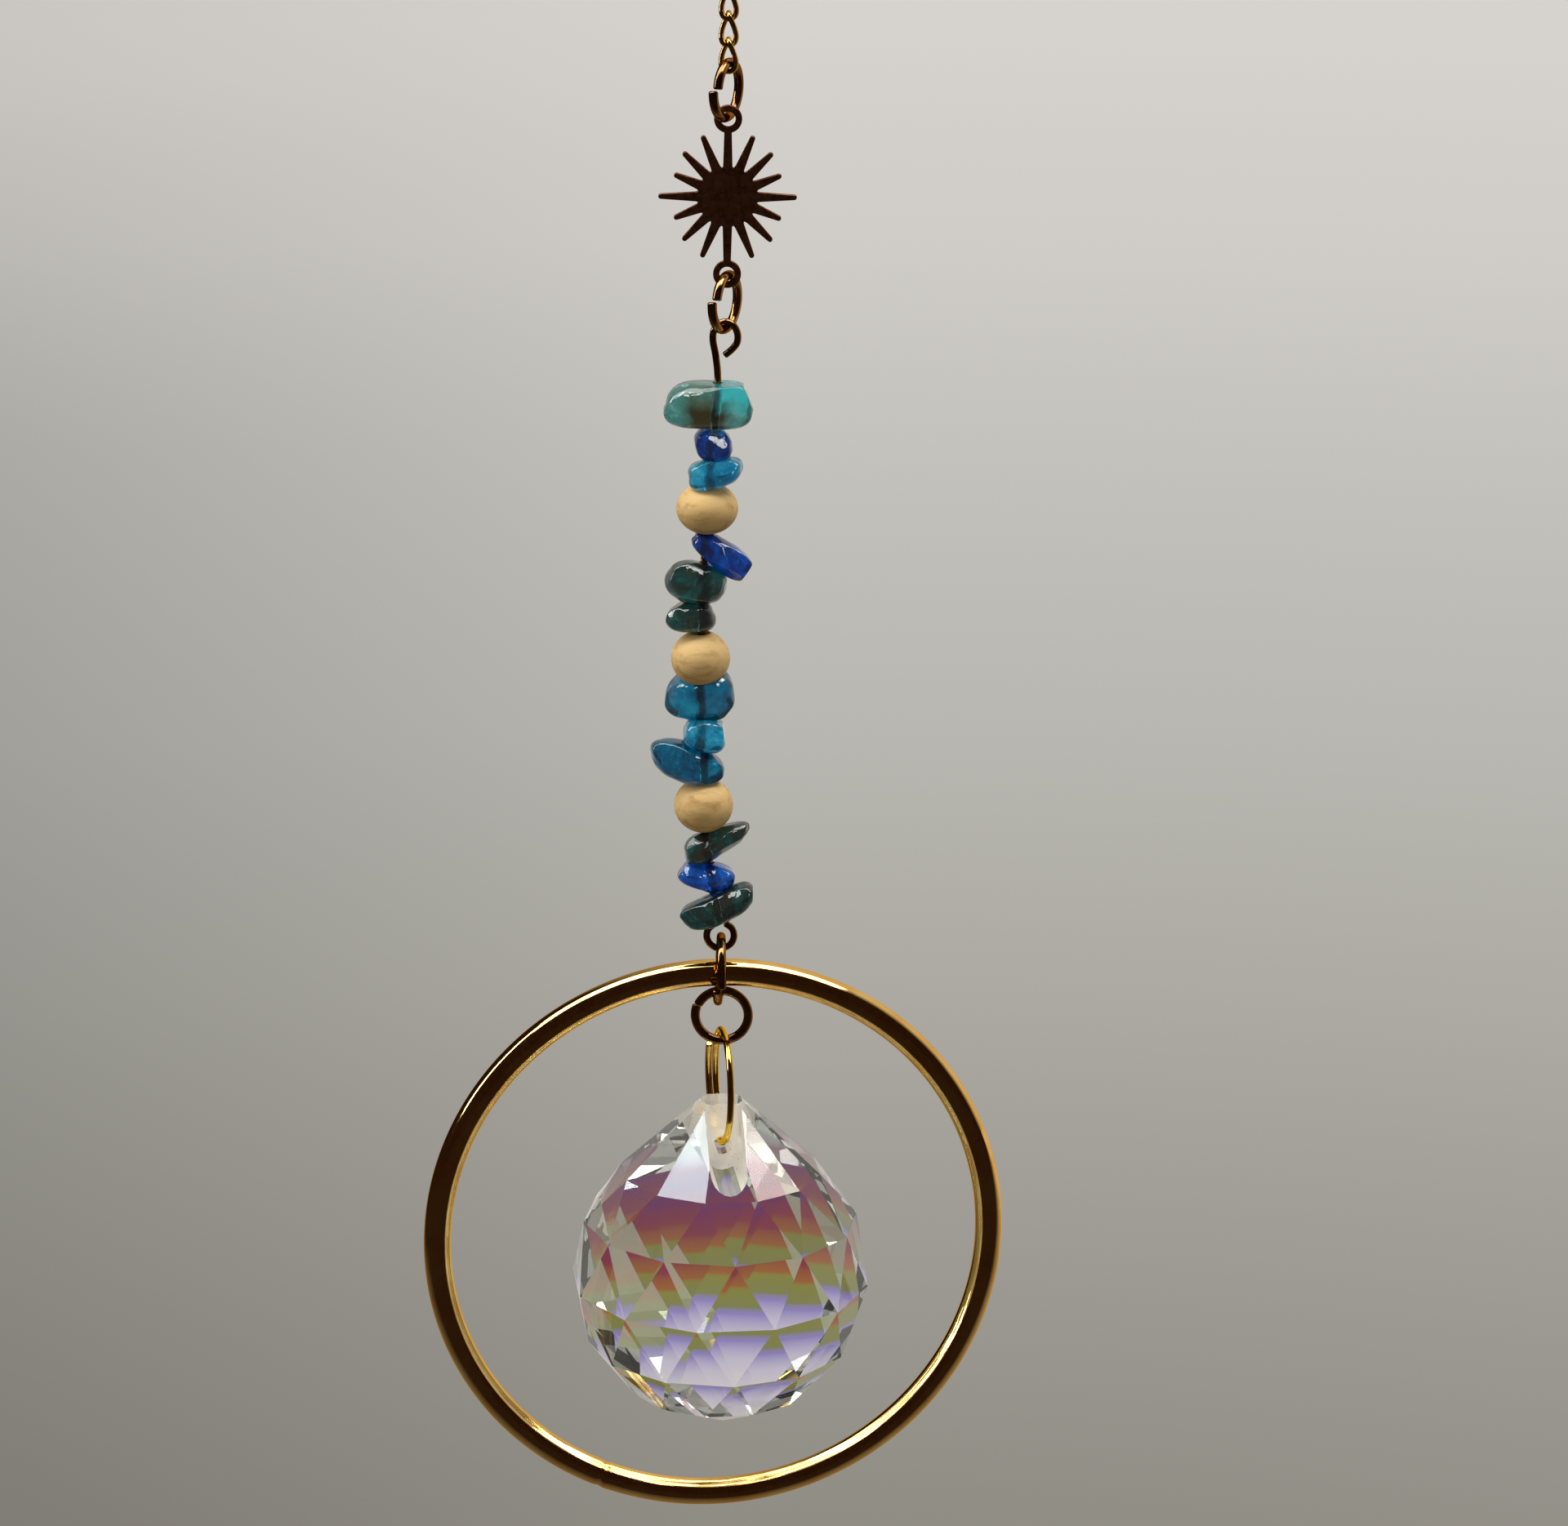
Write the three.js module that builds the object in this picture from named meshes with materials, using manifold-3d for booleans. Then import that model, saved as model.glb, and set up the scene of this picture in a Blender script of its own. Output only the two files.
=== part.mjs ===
// A hanging crystal suncatcher: chain, sun charm, beaded eye pin, hoop and faceted crystal ball.
// Millimetres, +Z up, the front faces -Y. The origin is the inside top of the hanging ring.
import * as THREE from "three";
import { ConvexGeometry } from "three/addons/geometries/ConvexGeometry.js";
import { mergeVertices } from "three/addons/utils/BufferGeometryUtils.js";
import Module from "manifold-3d";

const wasm = await Module();
wasm.setup();

// ---- driving dimensions -------------------------------------------------------------------
const REST_GAP = 0.05; // air between two wires that hang on each other
const LOOP_GAP = 0.13; // the same where a wire crosses a hole or hook at a slant
const WIRE_SIDES = 8;
const THIN_WIRE_SIDES = 6; // for the pin, the bail and the links, which are finer

const HANGING_RING = { radius: 4.46, wire: 0.92 };
const JUMP_RING = { radius: 2.63, wire: 0.92 };
const HOOP_RING = { radius: 3.2, wire: 0.92 };
const RING_STEPS = 16;
const HANGING_YAW = 25; // degrees, square to the top link where the two cross
const RING_SPLIT = 0.12; // radians left open where a ring's two ends meet
const RING_OFFSET = 0.25; // how far each end stands aside there, as a share of the wire
const CHARM_RING_YAW = 66; // degrees; the left strand is the nearer one

const LINKS = 11;
const LINK = { length: 3.59, width: 2.16, wire: 0.52, topTurn: -88, twist: 90, steps: 12 };

const SUN = {
  disc: 2.98, // radius at the rays' roots
  valley: 2.84, // and between them
  thickness: 0.45,
  rays: 16,
  rayRoot: 0.46, // half widths of a ray at its root and at its tip
  rayTip: 0.25,
  stem: 0.45, // half width of the rays that carry the loops, at their roots
  neck: 0.36, // and where they meet the loops
  loopSteps: 12,
  loopAt: 7.48, // from the sun's centre to a loop's centre
  loopOuter: 1.34,
  loopHole: 0.72,
};
const RAY_REACH = [7.48, 6.35, 6.0, 5.52, 6.6]; // from the upright ray to the level one

const PIN_WIRE = 0.68;
const PIN_STEPS = 56;
const PIN_HOOK = { radius: 1.2, height: 1.5 };
const PIN_EYE_RADIUS = 1.35;
const PIN_EYE_DROP = 61.85; // from the top of the hook to the eye's centre
const CHIP_HOLE = 0.55;
const DRILL = { length: 14, sides: 6, reach: 2.5 }; // aimed by the shank that far above and below

const WOOD = { hole: 0.85, sides: 14, rows: 8 };
const DIP_GAP = 0.3; // between a wooden bead and the stone it sits in

const HOOP = { radius: 27.83, tube: 2.7, yaw: 7, shift: -0.59, sides: 9, steps: 56 };

const BAIL = { radius: 5.6, wire: 0.68, yaw: 10.4, overlap: 60, spread: 0.42, steps: 34 };

const BALL_RADIUS = 15;
const BALL = {
  yaw: 7,
  belts: [48, 23.5, -2, -27.5, -53], // latitudes of the facet corners, every other belt turned
  sides: 12,
  neckRadius: 2.12,
  neckTop: 18.5, // above the ball's centre
  bottomLatitude: -76,
  bottomSides: 6,
  slotWidth: 3.7,
  slotFloor: 11.6,
  wall: 1.6, // half the thickness left between the two slots
  slotSteps: 5, // flats that make its round floor
  holeRadius: 0.95,
  holeHeight: 14.2,
  holeSides: 12,
  bailHeight: 14.36, // the bail's lowest centreline, above the ball's centre
};

// ---- materials ----------------------------------------------------------------------------
const plate = (color, roughness) =>
  new THREE.MeshStandardMaterial({ color, roughness, metalness: 1 });
const stone = (color) => new THREE.MeshStandardMaterial({ color, roughness: 0.12, metalness: 0 });

const GOLD = plate(0xc9a24a, 0.15);
const BRIGHT_GOLD = plate(0xe0b83c, 0.12);
const BRONZE = plate(0x6b4a2c, 0.25);
const COPPER_BROWN = plate(0x5a2c18, 0.35);
const LIMEWOOD = new THREE.MeshStandardMaterial({ color: 0xe0c08c, roughness: 0.7, metalness: 0 });
const CRYSTAL = new THREE.MeshStandardMaterial({
  color: 0xe8e6f4,
  roughness: 0.02,
  metalness: 0,
  transparent: true,
  opacity: 0.35,
});

// ---- helpers ------------------------------------------------------------------------------
const radians = THREE.MathUtils.degToRad;
const suncatcher = new THREE.Group();

function add(name, geometry, material) {
  const mesh = new THREE.Mesh(geometry, material);
  mesh.name = name;
  suncatcher.add(mesh);
  return mesh;
}

function solidOf(geometry) {
  const bare = geometry.clone();
  bare.deleteAttribute("normal");
  bare.deleteAttribute("uv");
  const merged = mergeVertices(bare, 1e-5);
  const vertProperties = new Float32Array(merged.attributes.position.array);
  const triVerts = new Uint32Array(merged.index.array);
  return new wasm.Manifold(new wasm.Mesh({ numProp: 3, vertProperties, triVerts }));
}

function geometryOf(solid) {
  const { vertProperties, triVerts } = solid.getMesh();
  return new THREE.BufferGeometry()
    .setAttribute("position", new THREE.BufferAttribute(vertProperties, 3))
    .setIndex(new THREE.BufferAttribute(triVerts, 1));
}

// A space curve given by a function of 0..1.
class Route extends THREE.Curve {
  constructor(pointAt) {
    super();
    this.pointAt = pointAt;
  }

  getPoint(t, target = new THREE.Vector3()) {
    return target.copy(this.pointAt(t));
  }
}

// A wire with two flat ends.
function openWire(curve, diameter, steps, sides = WIRE_SIDES) {
  const rim = Array.from({ length: sides }, (_, i) => {
    const angle = (2 * Math.PI * i) / sides;
    return new THREE.Vector2(Math.cos(angle), Math.sin(angle)).multiplyScalar(diameter / 2);
  });
  return new THREE.ExtrudeGeometry(new THREE.Shape(rim), { steps, extrudePath: curve });
}

// Where a wire's centreline runs when it hangs inside the bottom of the wire above.
const hungUnder = (bottom, wireAbove, wireBelow, gap = REST_GAP) =>
  bottom + (wireAbove + wireBelow) / 2 + gap;

// A jump ring in an upright plane. yaw turns it about Z from facing the front, and split is the
// direction of its slit in degrees from the right, counter-clockwise. The ends pass each other.
function jumpRing(name, { radius, wire }, centre, yaw, split, material) {
  const start = radians(split) + RING_SPLIT / 2;
  const sweep = 2 * Math.PI - RING_SPLIT;
  const across = new THREE.Vector3(Math.cos(radians(yaw)), Math.sin(radians(yaw)), 0);
  const aside = new THREE.Vector3(-across.y, across.x, 0);
  const route = new Route((t) => {
    const angle = start + sweep * t;
    return centre
      .clone()
      .addScaledVector(across, radius * Math.cos(angle))
      .addScaledVector(aside, RING_OFFSET * wire * (1 - 2 * t))
      .setZ(centre.z + radius * Math.sin(angle));
  });
  return add(name, openWire(route, wire, RING_STEPS), material);
}

// ---- hanging ring and chain ---------------------------------------------------------------
const ringCentre = new THREE.Vector3(0, 0, HANGING_RING.wire / 2 - HANGING_RING.radius);
jumpRing("hanging_ring", HANGING_RING, ringCentre, HANGING_YAW, 35, BRONZE);

// A closed oval link, twisted about its long axis so that its two ends stand square to each other.
function chainLink(name, top) {
  const halfLength = (LINK.length - LINK.wire) / 2;
  const halfWidth = (LINK.width - LINK.wire) / 2;
  const straight = halfLength - halfWidth;
  const centre = top - halfLength;
  const route = new Route((t) => {
    const angle = 2 * Math.PI * t;
    const x = halfWidth * Math.cos(angle);
    const rise = Math.sin(angle);
    const side = Math.sign(rise) * (1 - (1 - Math.abs(rise)) ** 2);
    const z = halfWidth * rise + straight * side;
    const twist = radians(LINK.topTurn + LINK.twist * (0.5 - z / (2 * halfLength)));
    return new THREE.Vector3(x * Math.cos(twist), x * Math.sin(twist), centre + z);
  });
  const tube = new THREE.TubeGeometry(route, LINK.steps, LINK.wire / 2, THIN_WIRE_SIDES, true);
  return add(name, tube, GOLD);
}

const linkPitch = LINK.length - 2 * LINK.wire - REST_GAP;
const firstLinkTop = hungUnder(
  ringCentre.z - HANGING_RING.radius,
  HANGING_RING.wire,
  LINK.wire,
  LOOP_GAP,
);
for (let i = 0; i < LINKS; i++) {
  chainLink("chain_link_" + String(i + 1).padStart(2, "0"), firstLinkTop - i * linkPitch);
}
const chainBottom = firstLinkTop - (LINKS - 1) * linkPitch - (LINK.length - LINK.wire);

// ---- sun charm between its two rings ------------------------------------------------------
const upperRingTop = hungUnder(chainBottom, LINK.wire, JUMP_RING.wire, LOOP_GAP);
const upperRing = new THREE.Vector3(0, 0, upperRingTop - JUMP_RING.radius);
jumpRing("upper_ring", JUMP_RING, upperRing, CHARM_RING_YAW, 172, BRONZE);

// The loop hangs with the top of its hole on the ring's lowest point.
const sunCentre =
  upperRing.z - JUMP_RING.radius + JUMP_RING.wire / 2 + LOOP_GAP - SUN.loopHole - SUN.loopAt;

function sunOutline() {
  const points = [];
  const put = (along, radius, offset) =>
    points.push(
      new THREE.Vector2(
        radius * Math.cos(along) - offset * Math.sin(along),
        radius * Math.sin(along) + offset * Math.cos(along),
      ),
    );
  const half = SUN.rays / 2;
  for (let ray = 0; ray < SUN.rays; ray++) {
    const along = (Math.PI / half) * ray + Math.PI / 2;
    const fromUpright = Math.min(ray % half, half - (ray % half));
    const reach = RAY_REACH[fromUpright];
    if (fromUpright === 0) {
      put(along, SUN.disc, -SUN.stem);
      const meet = Math.asin(SUN.neck / SUN.loopOuter);
      for (let i = 0; i <= SUN.loopSteps; i++) {
        const around = Math.PI + meet + (i / SUN.loopSteps) * (2 * Math.PI - 2 * meet);
        put(along, SUN.loopAt + SUN.loopOuter * Math.cos(around), SUN.loopOuter * Math.sin(around));
      }
      put(along, SUN.disc, SUN.stem);
    } else {
      put(along, SUN.disc, -SUN.rayRoot);
      for (const turn of [-90, -30, 30, 90]) {
        const round = SUN.rayTip * Math.cos(radians(turn));
        put(along, reach - SUN.rayTip + round, SUN.rayTip * Math.sin(radians(turn)));
      }
      put(along, SUN.disc, SUN.rayRoot);
    }
    put(along + Math.PI / SUN.rays, SUN.valley, 0);
  }
  return points;
}

const sunShape = new THREE.Shape(sunOutline());
for (const side of [1, -1]) {
  const rim = new THREE.Path();
  const hole = Array.from({ length: SUN.loopSteps }, (_, i) => {
    const angle = (2 * Math.PI * i) / SUN.loopSteps;
    return new THREE.Vector2(
      SUN.loopHole * Math.cos(angle),
      side * SUN.loopAt + SUN.loopHole * Math.sin(angle),
    );
  });
  sunShape.holes.push(rim.setFromPoints(hole));
}
const sunPlate = new THREE.ExtrudeGeometry(sunShape, {
  depth: SUN.thickness,
  bevelEnabled: false,
});
sunPlate.translate(0, 0, -SUN.thickness / 2);
sunPlate.rotateX(Math.PI / 2);
add("sun_charm", sunPlate, COPPER_BROWN).position.z = sunCentre;

const lowerRing = new THREE.Vector3(
  0,
  0,
  sunCentre - SUN.loopAt - SUN.loopHole + JUMP_RING.wire / 2 + LOOP_GAP - JUMP_RING.radius,
);
jumpRing("lower_ring", JUMP_RING, lowerRing, CHARM_RING_YAW, 168, BRONZE);

// ---- eye pin ------------------------------------------------------------------------------
const hookTop = hungUnder(lowerRing.z - JUMP_RING.radius, JUMP_RING.wire, PIN_WIRE, LOOP_GAP);
const HOOK_X = -0.12;
const EYE_X = -0.2;
// How far the bowed shank stands to the side at each distance below the top of the hook.
const SHANK = [
  [-1.05, 3.2],
  [-0.82, 5.4],
  [-1.1, 9.6],
  [-1.75, 18.4],
  [-2.1, 26],
  [-2.32, 35],
  [-2.15, 43.5],
  [-1.9, 49],
  [-1.4, 54],
  [-0.75, 58.2],
  [-0.35, 60],
];

function arcPoints(x, drop, width, height, from, to, count) {
  return Array.from({ length: count + 1 }, (_, i) => {
    const angle = radians(from + ((to - from) * i) / count);
    return [x + width * Math.cos(angle), drop - height * Math.sin(angle)];
  });
}

const pinRoute = new THREE.CatmullRomCurve3(
  [
    [HOOK_X - 0.08, 3.3],
    [HOOK_X + 0.62, 2.7],
    ...arcPoints(HOOK_X, PIN_HOOK.height, PIN_HOOK.radius, PIN_HOOK.height, -20, 188, 6),
    ...SHANK,
    ...arcPoints(EYE_X, PIN_EYE_DROP, PIN_EYE_RADIUS, PIN_EYE_RADIUS, 118, 430, 9),
  ].map(([x, drop]) => new THREE.Vector3(x, 0, hookTop - drop)),
  false,
  "centripetal",
);
pinRoute.arcLengthDivisions = 600;
add("eye_pin", openWire(pinRoute, PIN_WIRE, PIN_STEPS, THIN_WIRE_SIDES), BRONZE);

const shankRoute = new THREE.CatmullRomCurve3(
  SHANK.map(([x, drop]) => new THREE.Vector3(x, 0, hookTop - drop)),
);
const shankPoints = shankRoute.getPoints(400);
const shankAt = (z) =>
  shankPoints.reduce((best, p) => (Math.abs(p.z - z) < Math.abs(best.z - z) ? p : best));

// A straight drill along the shank through the bead whose middle is at height z.
function shankDrill(z, radius) {
  const above = shankAt(z + DRILL.reach);
  const below = shankAt(z - DRILL.reach);
  const axis = above.clone().sub(below).normalize();
  const drill = new THREE.CylinderGeometry(radius, radius, DRILL.length, DRILL.sides);
  drill.applyQuaternion(new THREE.Quaternion().setFromUnitVectors(THREE.Object3D.DEFAULT_UP, axis));
  const middle = above.add(below).multiplyScalar(0.5);
  drill.translate(middle.x, middle.y, middle.z);
  return drill;
}

// ---- beads --------------------------------------------------------------------------------
// A tumbled stone: a ball drawn towards a box, with slow lumps, one end narrower than the other.
function pebble([length, depth, thickness], boxy, taper, seed) {
  const ball = new THREE.IcosahedronGeometry(1, 2);
  const spots = ball.attributes.position;
  const p = new THREE.Vector3();
  for (let i = 0; i < spots.count; i++) {
    p.fromBufferAttribute(spots, i);
    const sum = Math.abs(p.x) ** boxy + Math.abs(p.y) ** boxy + Math.abs(p.z) ** boxy;
    const lump =
      1 +
      0.06 * Math.sin(2.3 * p.x + 1.7 * p.y + seed) +
      0.05 * Math.sin(2.9 * p.z - 2.1 * p.x + 2.2 * seed);
    p.multiplyScalar(lump * sum ** (-1 / boxy));
    const narrow = 1 + taper * p.x;
    spots.setXYZ(i, p.x, p.y * narrow, p.z * narrow);
  }
  ball.computeBoundingBox();
  const size = ball.boundingBox.getSize(new THREE.Vector3());
  const middle = ball.boundingBox.getCenter(new THREE.Vector3());
  ball.translate(-middle.x, -middle.y, -middle.z);
  ball.scale(length / size.x, depth / size.y, thickness / size.z);
  return ball;
}

// The dip that a wooden bead sits in, a little larger than the bead.
function beadHollow([, width, height, drop]) {
  const dip = new THREE.SphereGeometry(1, WOOD.sides, WOOD.rows).rotateX(Math.PI / 2);
  dip.scale(width / 2 + DIP_GAP, width / 2 + DIP_GAP, height / 2 + DIP_GAP);
  const at = shankAt(hookTop - drop);
  return solidOf(dip.translate(at.x, at.y, at.z));
}

// name, colour, [x, y, z below the top of the hook], [length, depth, thickness],
// tilt (right end up), lean (back up), boxy, taper (right end thicker), seed
const CHIPS = [
  ["chip_long_teal", 0x3e8f98, [-1.69, 0, 8.37], [8.6, 4.6, 4.3], 0, 3, 3.4, 0.06, 0.6],
  ["chip_round_blue", 0x0b4fa8, [-1.2, 0, 12.24], [3.7, 3.8, 3.2], 0, 0, 2.5, 0, 2.1],
  ["chip_sky_blue", 0x2b9ad8, [-0.94, -0.5, 14.94], [5.3, 3.6, 2.2], 12, 2, 2.5, -0.08, 4.0],
  ["chip_navy", 0x0a3f92, [-0.34, -0.1, 23.25], [6.4, 3.4, 2.5], -35, 0, 3.0, 0.15, 1.3],
  ["chip_dark_teal", 0x17505a, [-2.82, 0, 26.0], [6.1, 4.8, 3.6], -8, 0, 2.6, 0.05, 3.1],
  ["chip_small_teal", 0x145560, [-3.27, 0, 29.4], [4.8, 4.0, 2.8], 9, 0, 2.4, 0.1, 5.2],
  ["chip_large_blue", 0x0b6393, [-2.36, 0.6, 37.25], [6.85, 5.2, 4.9], 0, 8, 2.4, 0, 0.2],
  ["chip_small_cyan", 0x2a9fc4, [-1.89, -0.2, 41.33], [4.2, 4.0, 2.9], -5, 0, 3.0, 0.05, 2.8],
  ["chip_long_blue", 0x0b6fa6, [-3.56, 0, 44.12], [7.7, 4.6, 3.3], -13, 0, 2.3, 0.18, 1.9],
  ["chip_dark_green", 0x1f5550, [-0.58, 0, 52.4], [7.0, 4.0, 2.4], 25, 0, 2.4, -0.2, 3.7],
  ["chip_vivid_blue", 0x0d55d0, [-1.65, 0, 55.88], [5.5, 4.0, 2.4], -15, 0, 2.7, 0.1, 0.9],
  ["chip_grey_teal", 0x1f6f74, [-0.59, -0.5, 58.76], [7.6, 4.0, 2.25], 25, 5, 2.5, -0.05, 4.6],
];

// name, width, height, drop of the middle below the top of the hook
const WOOD_BEADS = [
  ["wood_bead_upper", 6.0, 4.75, 18.64],
  ["wood_bead_middle", 5.75, 5.15, 33.64],
  ["wood_bead_lower", 5.8, 5.1, 48.61],
];

// A turned wooden bead: a slightly flattened round with a straight hole.
function turnedBead(width, height) {
  const radius = width / 2;
  const rimAngle = Math.acos(WOOD.hole / radius);
  const rise = height / 2 / Math.sin(rimAngle);
  const profile = Array.from({ length: WOOD.rows + 1 }, (_, i) => {
    const angle = rimAngle * ((2 * i) / WOOD.rows - 1);
    return new THREE.Vector2(radius * Math.cos(angle), rise * Math.sin(angle));
  });
  profile.push(profile[0].clone());
  return new THREE.LatheGeometry(profile, WOOD.sides).rotateX(Math.PI / 2);
}

for (const [name, width, height, drop] of WOOD_BEADS) {
  add(name, turnedBead(width, height), LIMEWOOD).position.copy(shankAt(hookTop - drop));
}

for (const [name, color, [x, y, drop], size, tilt, lean, boxy, taper, seed] of CHIPS) {
  const z = hookTop - drop;
  const blank = pebble(size, boxy, taper, seed);
  blank.rotateX(radians(lean));
  blank.rotateY(radians(-tilt));
  blank.translate(x, y, z);
  let chip = solidOf(blank).subtract(solidOf(shankDrill(z, CHIP_HOLE)));
  if (name === "chip_large_blue") chip = chip.subtract(beadHollow(WOOD_BEADS[1]));
  add(name, geometryOf(chip), stone(color));
}

// ---- hoop and its ring --------------------------------------------------------------------
// Inside the hoop's ring lie, from the top, the pin's eye, the hoop's tube and the crystal's ring.
const eyeBottom = hookTop - PIN_EYE_DROP - PIN_EYE_RADIUS;
const hoopRingTop = hungUnder(eyeBottom, PIN_WIRE, HOOP_RING.wire);
const hoopRing = new THREE.Vector3(EYE_X, 0, hoopRingTop - HOOP_RING.radius);
jumpRing("hoop_ring", HOOP_RING, hoopRing, 90, 200, BRONZE);

const crystalRingTop = hungUnder(hoopRing.z - HOOP_RING.radius, HOOP_RING.wire, JUMP_RING.wire);
const crystalRing = new THREE.Vector3(0, 0, crystalRingTop - JUMP_RING.radius);
jumpRing("crystal_ring", JUMP_RING, crystalRing, 0, 156, BRONZE);

const hoopTop = hungUnder(crystalRingTop, JUMP_RING.wire, HOOP.tube);
const torus = new THREE.TorusGeometry(HOOP.radius, HOOP.tube / 2, HOOP.sides, HOOP.steps);
const hoop = add("hoop", torus, GOLD);
hoop.rotation.set(Math.PI / 2, 0, radians(HOOP.yaw), "ZYX");
hoop.position.set(HOOP.shift, 0, hoopTop - HOOP.radius);

// ---- bail ---------------------------------------------------------------------------------
const bailTop = hungUnder(crystalRing.z - JUMP_RING.radius, JUMP_RING.wire, BAIL.wire);
const bailCentre = bailTop - BAIL.radius;
const bailForward = new THREE.Vector3(Math.sin(radians(BAIL.yaw)), -Math.cos(radians(BAIL.yaw)), 0);
const bailAside = new THREE.Vector3(-bailForward.y, bailForward.x, 0);
const bailSweep = 360 + BAIL.overlap;
const bailRoute = new Route((t) => {
  const angle = radians(180 - BAIL.overlap / 2 + bailSweep * t);
  return new THREE.Vector3(0, 0, bailCentre + BAIL.radius * Math.sin(angle))
    .addScaledVector(bailForward, BAIL.radius * Math.cos(angle))
    .addScaledVector(bailAside, BAIL.spread * (2 * t - 1));
});
add("bail", openWire(bailRoute, BAIL.wire, BAIL.steps, THIN_WIRE_SIDES), BRIGHT_GOLD);

// ---- crystal ------------------------------------------------------------------------------
function belt(latitude, radius, turned, sides) {
  return Array.from({ length: sides }, (_, i) => {
    const azimuth = (2 * Math.PI * (i + (turned ? 0.5 : 0))) / sides;
    const reach = radius * Math.cos(radians(latitude));
    return new THREE.Vector3(
      reach * Math.sin(azimuth),
      -reach * Math.cos(azimuth),
      radius * Math.sin(radians(latitude)),
    );
  });
}

const corners = BALL.belts.flatMap((latitude, i) =>
  belt(latitude, BALL_RADIUS, i % 2 === 0, BALL.sides),
);
const neck = belt(0, BALL.neckRadius, true, BALL.sides);
neck.forEach((corner) => corner.setZ(BALL.neckTop));
const bottom = belt(BALL.bottomLatitude, BALL_RADIUS, false, BALL.bottomSides);
const ball = new ConvexGeometry([...corners, ...neck, ...bottom]);

// One slot: open to the front of the crown and upwards, with a round floor.
function slot(side) {
  const half = BALL.slotWidth / 2;
  const section = new THREE.Shape();
  section.moveTo(-half, BALL.neckTop + 2);
  section.lineTo(-half, BALL.slotFloor + half);
  section.absarc(0, BALL.slotFloor + half, half, Math.PI, 2 * Math.PI, false);
  section.lineTo(half, BALL.neckTop + 2);
  const depth = BALL_RADIUS;
  const cutter = new THREE.ExtrudeGeometry(section, {
    depth,
    bevelEnabled: false,
    curveSegments: BALL.slotSteps,
  });
  cutter.rotateX(Math.PI / 2);
  cutter.translate(0, side > 0 ? depth + BALL.wall : -BALL.wall, 0);
  return cutter;
}

const holeLength = 4 * BALL.wall; // longer than the wall that it goes through
const hole = new THREE.CylinderGeometry(
  BALL.holeRadius,
  BALL.holeRadius,
  holeLength,
  BALL.holeSides,
);
hole.translate(0, 0, BALL.holeHeight);
const crystalSolid = solidOf(ball)
  .subtract(solidOf(slot(1)))
  .subtract(solidOf(slot(-1)))
  .subtract(solidOf(hole));
const crystal = add("crystal", geometryOf(crystalSolid), CRYSTAL);
crystal.rotation.z = radians(BALL.yaw);
crystal.position.z = bailCentre - BAIL.radius - BALL.bailHeight;

export default suncatcher;
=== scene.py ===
"""A crystal suncatcher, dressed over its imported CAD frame.

Metres, +Z up, the front faces -Y. Sizes below are in millimetres and MM turns them into metres.
"""

import math

import bmesh
import bpy
from mathutils import Matrix, Vector, noise

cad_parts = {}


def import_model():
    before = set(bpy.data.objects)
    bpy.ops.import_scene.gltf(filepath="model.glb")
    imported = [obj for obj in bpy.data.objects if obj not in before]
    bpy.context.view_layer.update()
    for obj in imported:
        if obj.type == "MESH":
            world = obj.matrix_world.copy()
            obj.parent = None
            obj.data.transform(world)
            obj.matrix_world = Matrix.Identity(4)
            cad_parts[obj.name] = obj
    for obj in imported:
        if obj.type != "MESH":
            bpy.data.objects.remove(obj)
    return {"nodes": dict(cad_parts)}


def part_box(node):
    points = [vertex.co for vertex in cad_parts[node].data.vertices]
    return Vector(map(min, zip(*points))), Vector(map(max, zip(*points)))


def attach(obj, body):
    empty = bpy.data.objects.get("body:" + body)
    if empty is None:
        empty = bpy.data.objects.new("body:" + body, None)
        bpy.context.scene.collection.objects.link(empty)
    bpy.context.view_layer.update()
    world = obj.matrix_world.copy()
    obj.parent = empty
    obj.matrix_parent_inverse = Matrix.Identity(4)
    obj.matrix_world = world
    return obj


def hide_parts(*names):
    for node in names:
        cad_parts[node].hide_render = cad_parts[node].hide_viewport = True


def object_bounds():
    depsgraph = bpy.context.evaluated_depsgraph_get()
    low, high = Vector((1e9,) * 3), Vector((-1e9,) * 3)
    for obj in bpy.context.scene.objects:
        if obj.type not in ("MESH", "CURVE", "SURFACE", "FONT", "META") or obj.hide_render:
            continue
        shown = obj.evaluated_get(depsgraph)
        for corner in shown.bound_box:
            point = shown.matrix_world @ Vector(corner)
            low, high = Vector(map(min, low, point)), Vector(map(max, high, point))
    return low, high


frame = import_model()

cad_box = [list(corner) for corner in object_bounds()]

MM = 0.001
TAU = 2 * math.pi

# ---- camera ---------------------------------------------------------------------------------
CAMERA_AT = (5.92, -537.0, 55.2)
CAMERA_PITCH = 16.5  # degrees below the horizon
CAMERA_ROLL = 0.585  # degrees
CAMERA_LENS, CAMERA_SENSOR = 131.25, 36

# ---- the part's own sizes, as in its CAD unless said otherwise ------------------------------
RING_WIRE = 0.92
HANGING_RADIUS = 4.46
JUMP_RADIUS = 2.63
HOOP_RING_RADIUS = 3.2
RING_SPLIT = 0.07  # radians; nearly closed, where the CAD leaves more room
# node, radius, yaw and the split's direction, both in degrees
RINGS = (
    ("hanging_ring", HANGING_RADIUS, 25, 35),
    ("upper_ring", JUMP_RADIUS, 66, 172),
    ("lower_ring", JUMP_RADIUS, 66, 168),
    ("hoop_ring", HOOP_RING_RADIUS, 90, 200),
    ("crystal_ring", JUMP_RADIUS, 0, 156),
)
LINKS = 11
LINK_LENGTH, LINK_WIDTH, LINK_WIRE = 3.59, 2.16, 0.52
LINK_SIDES = 14
LINK_TOP_TURN, LINK_TWIST = -88, 90  # degrees: the yaw of a link's top, and the turn to its foot

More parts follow.
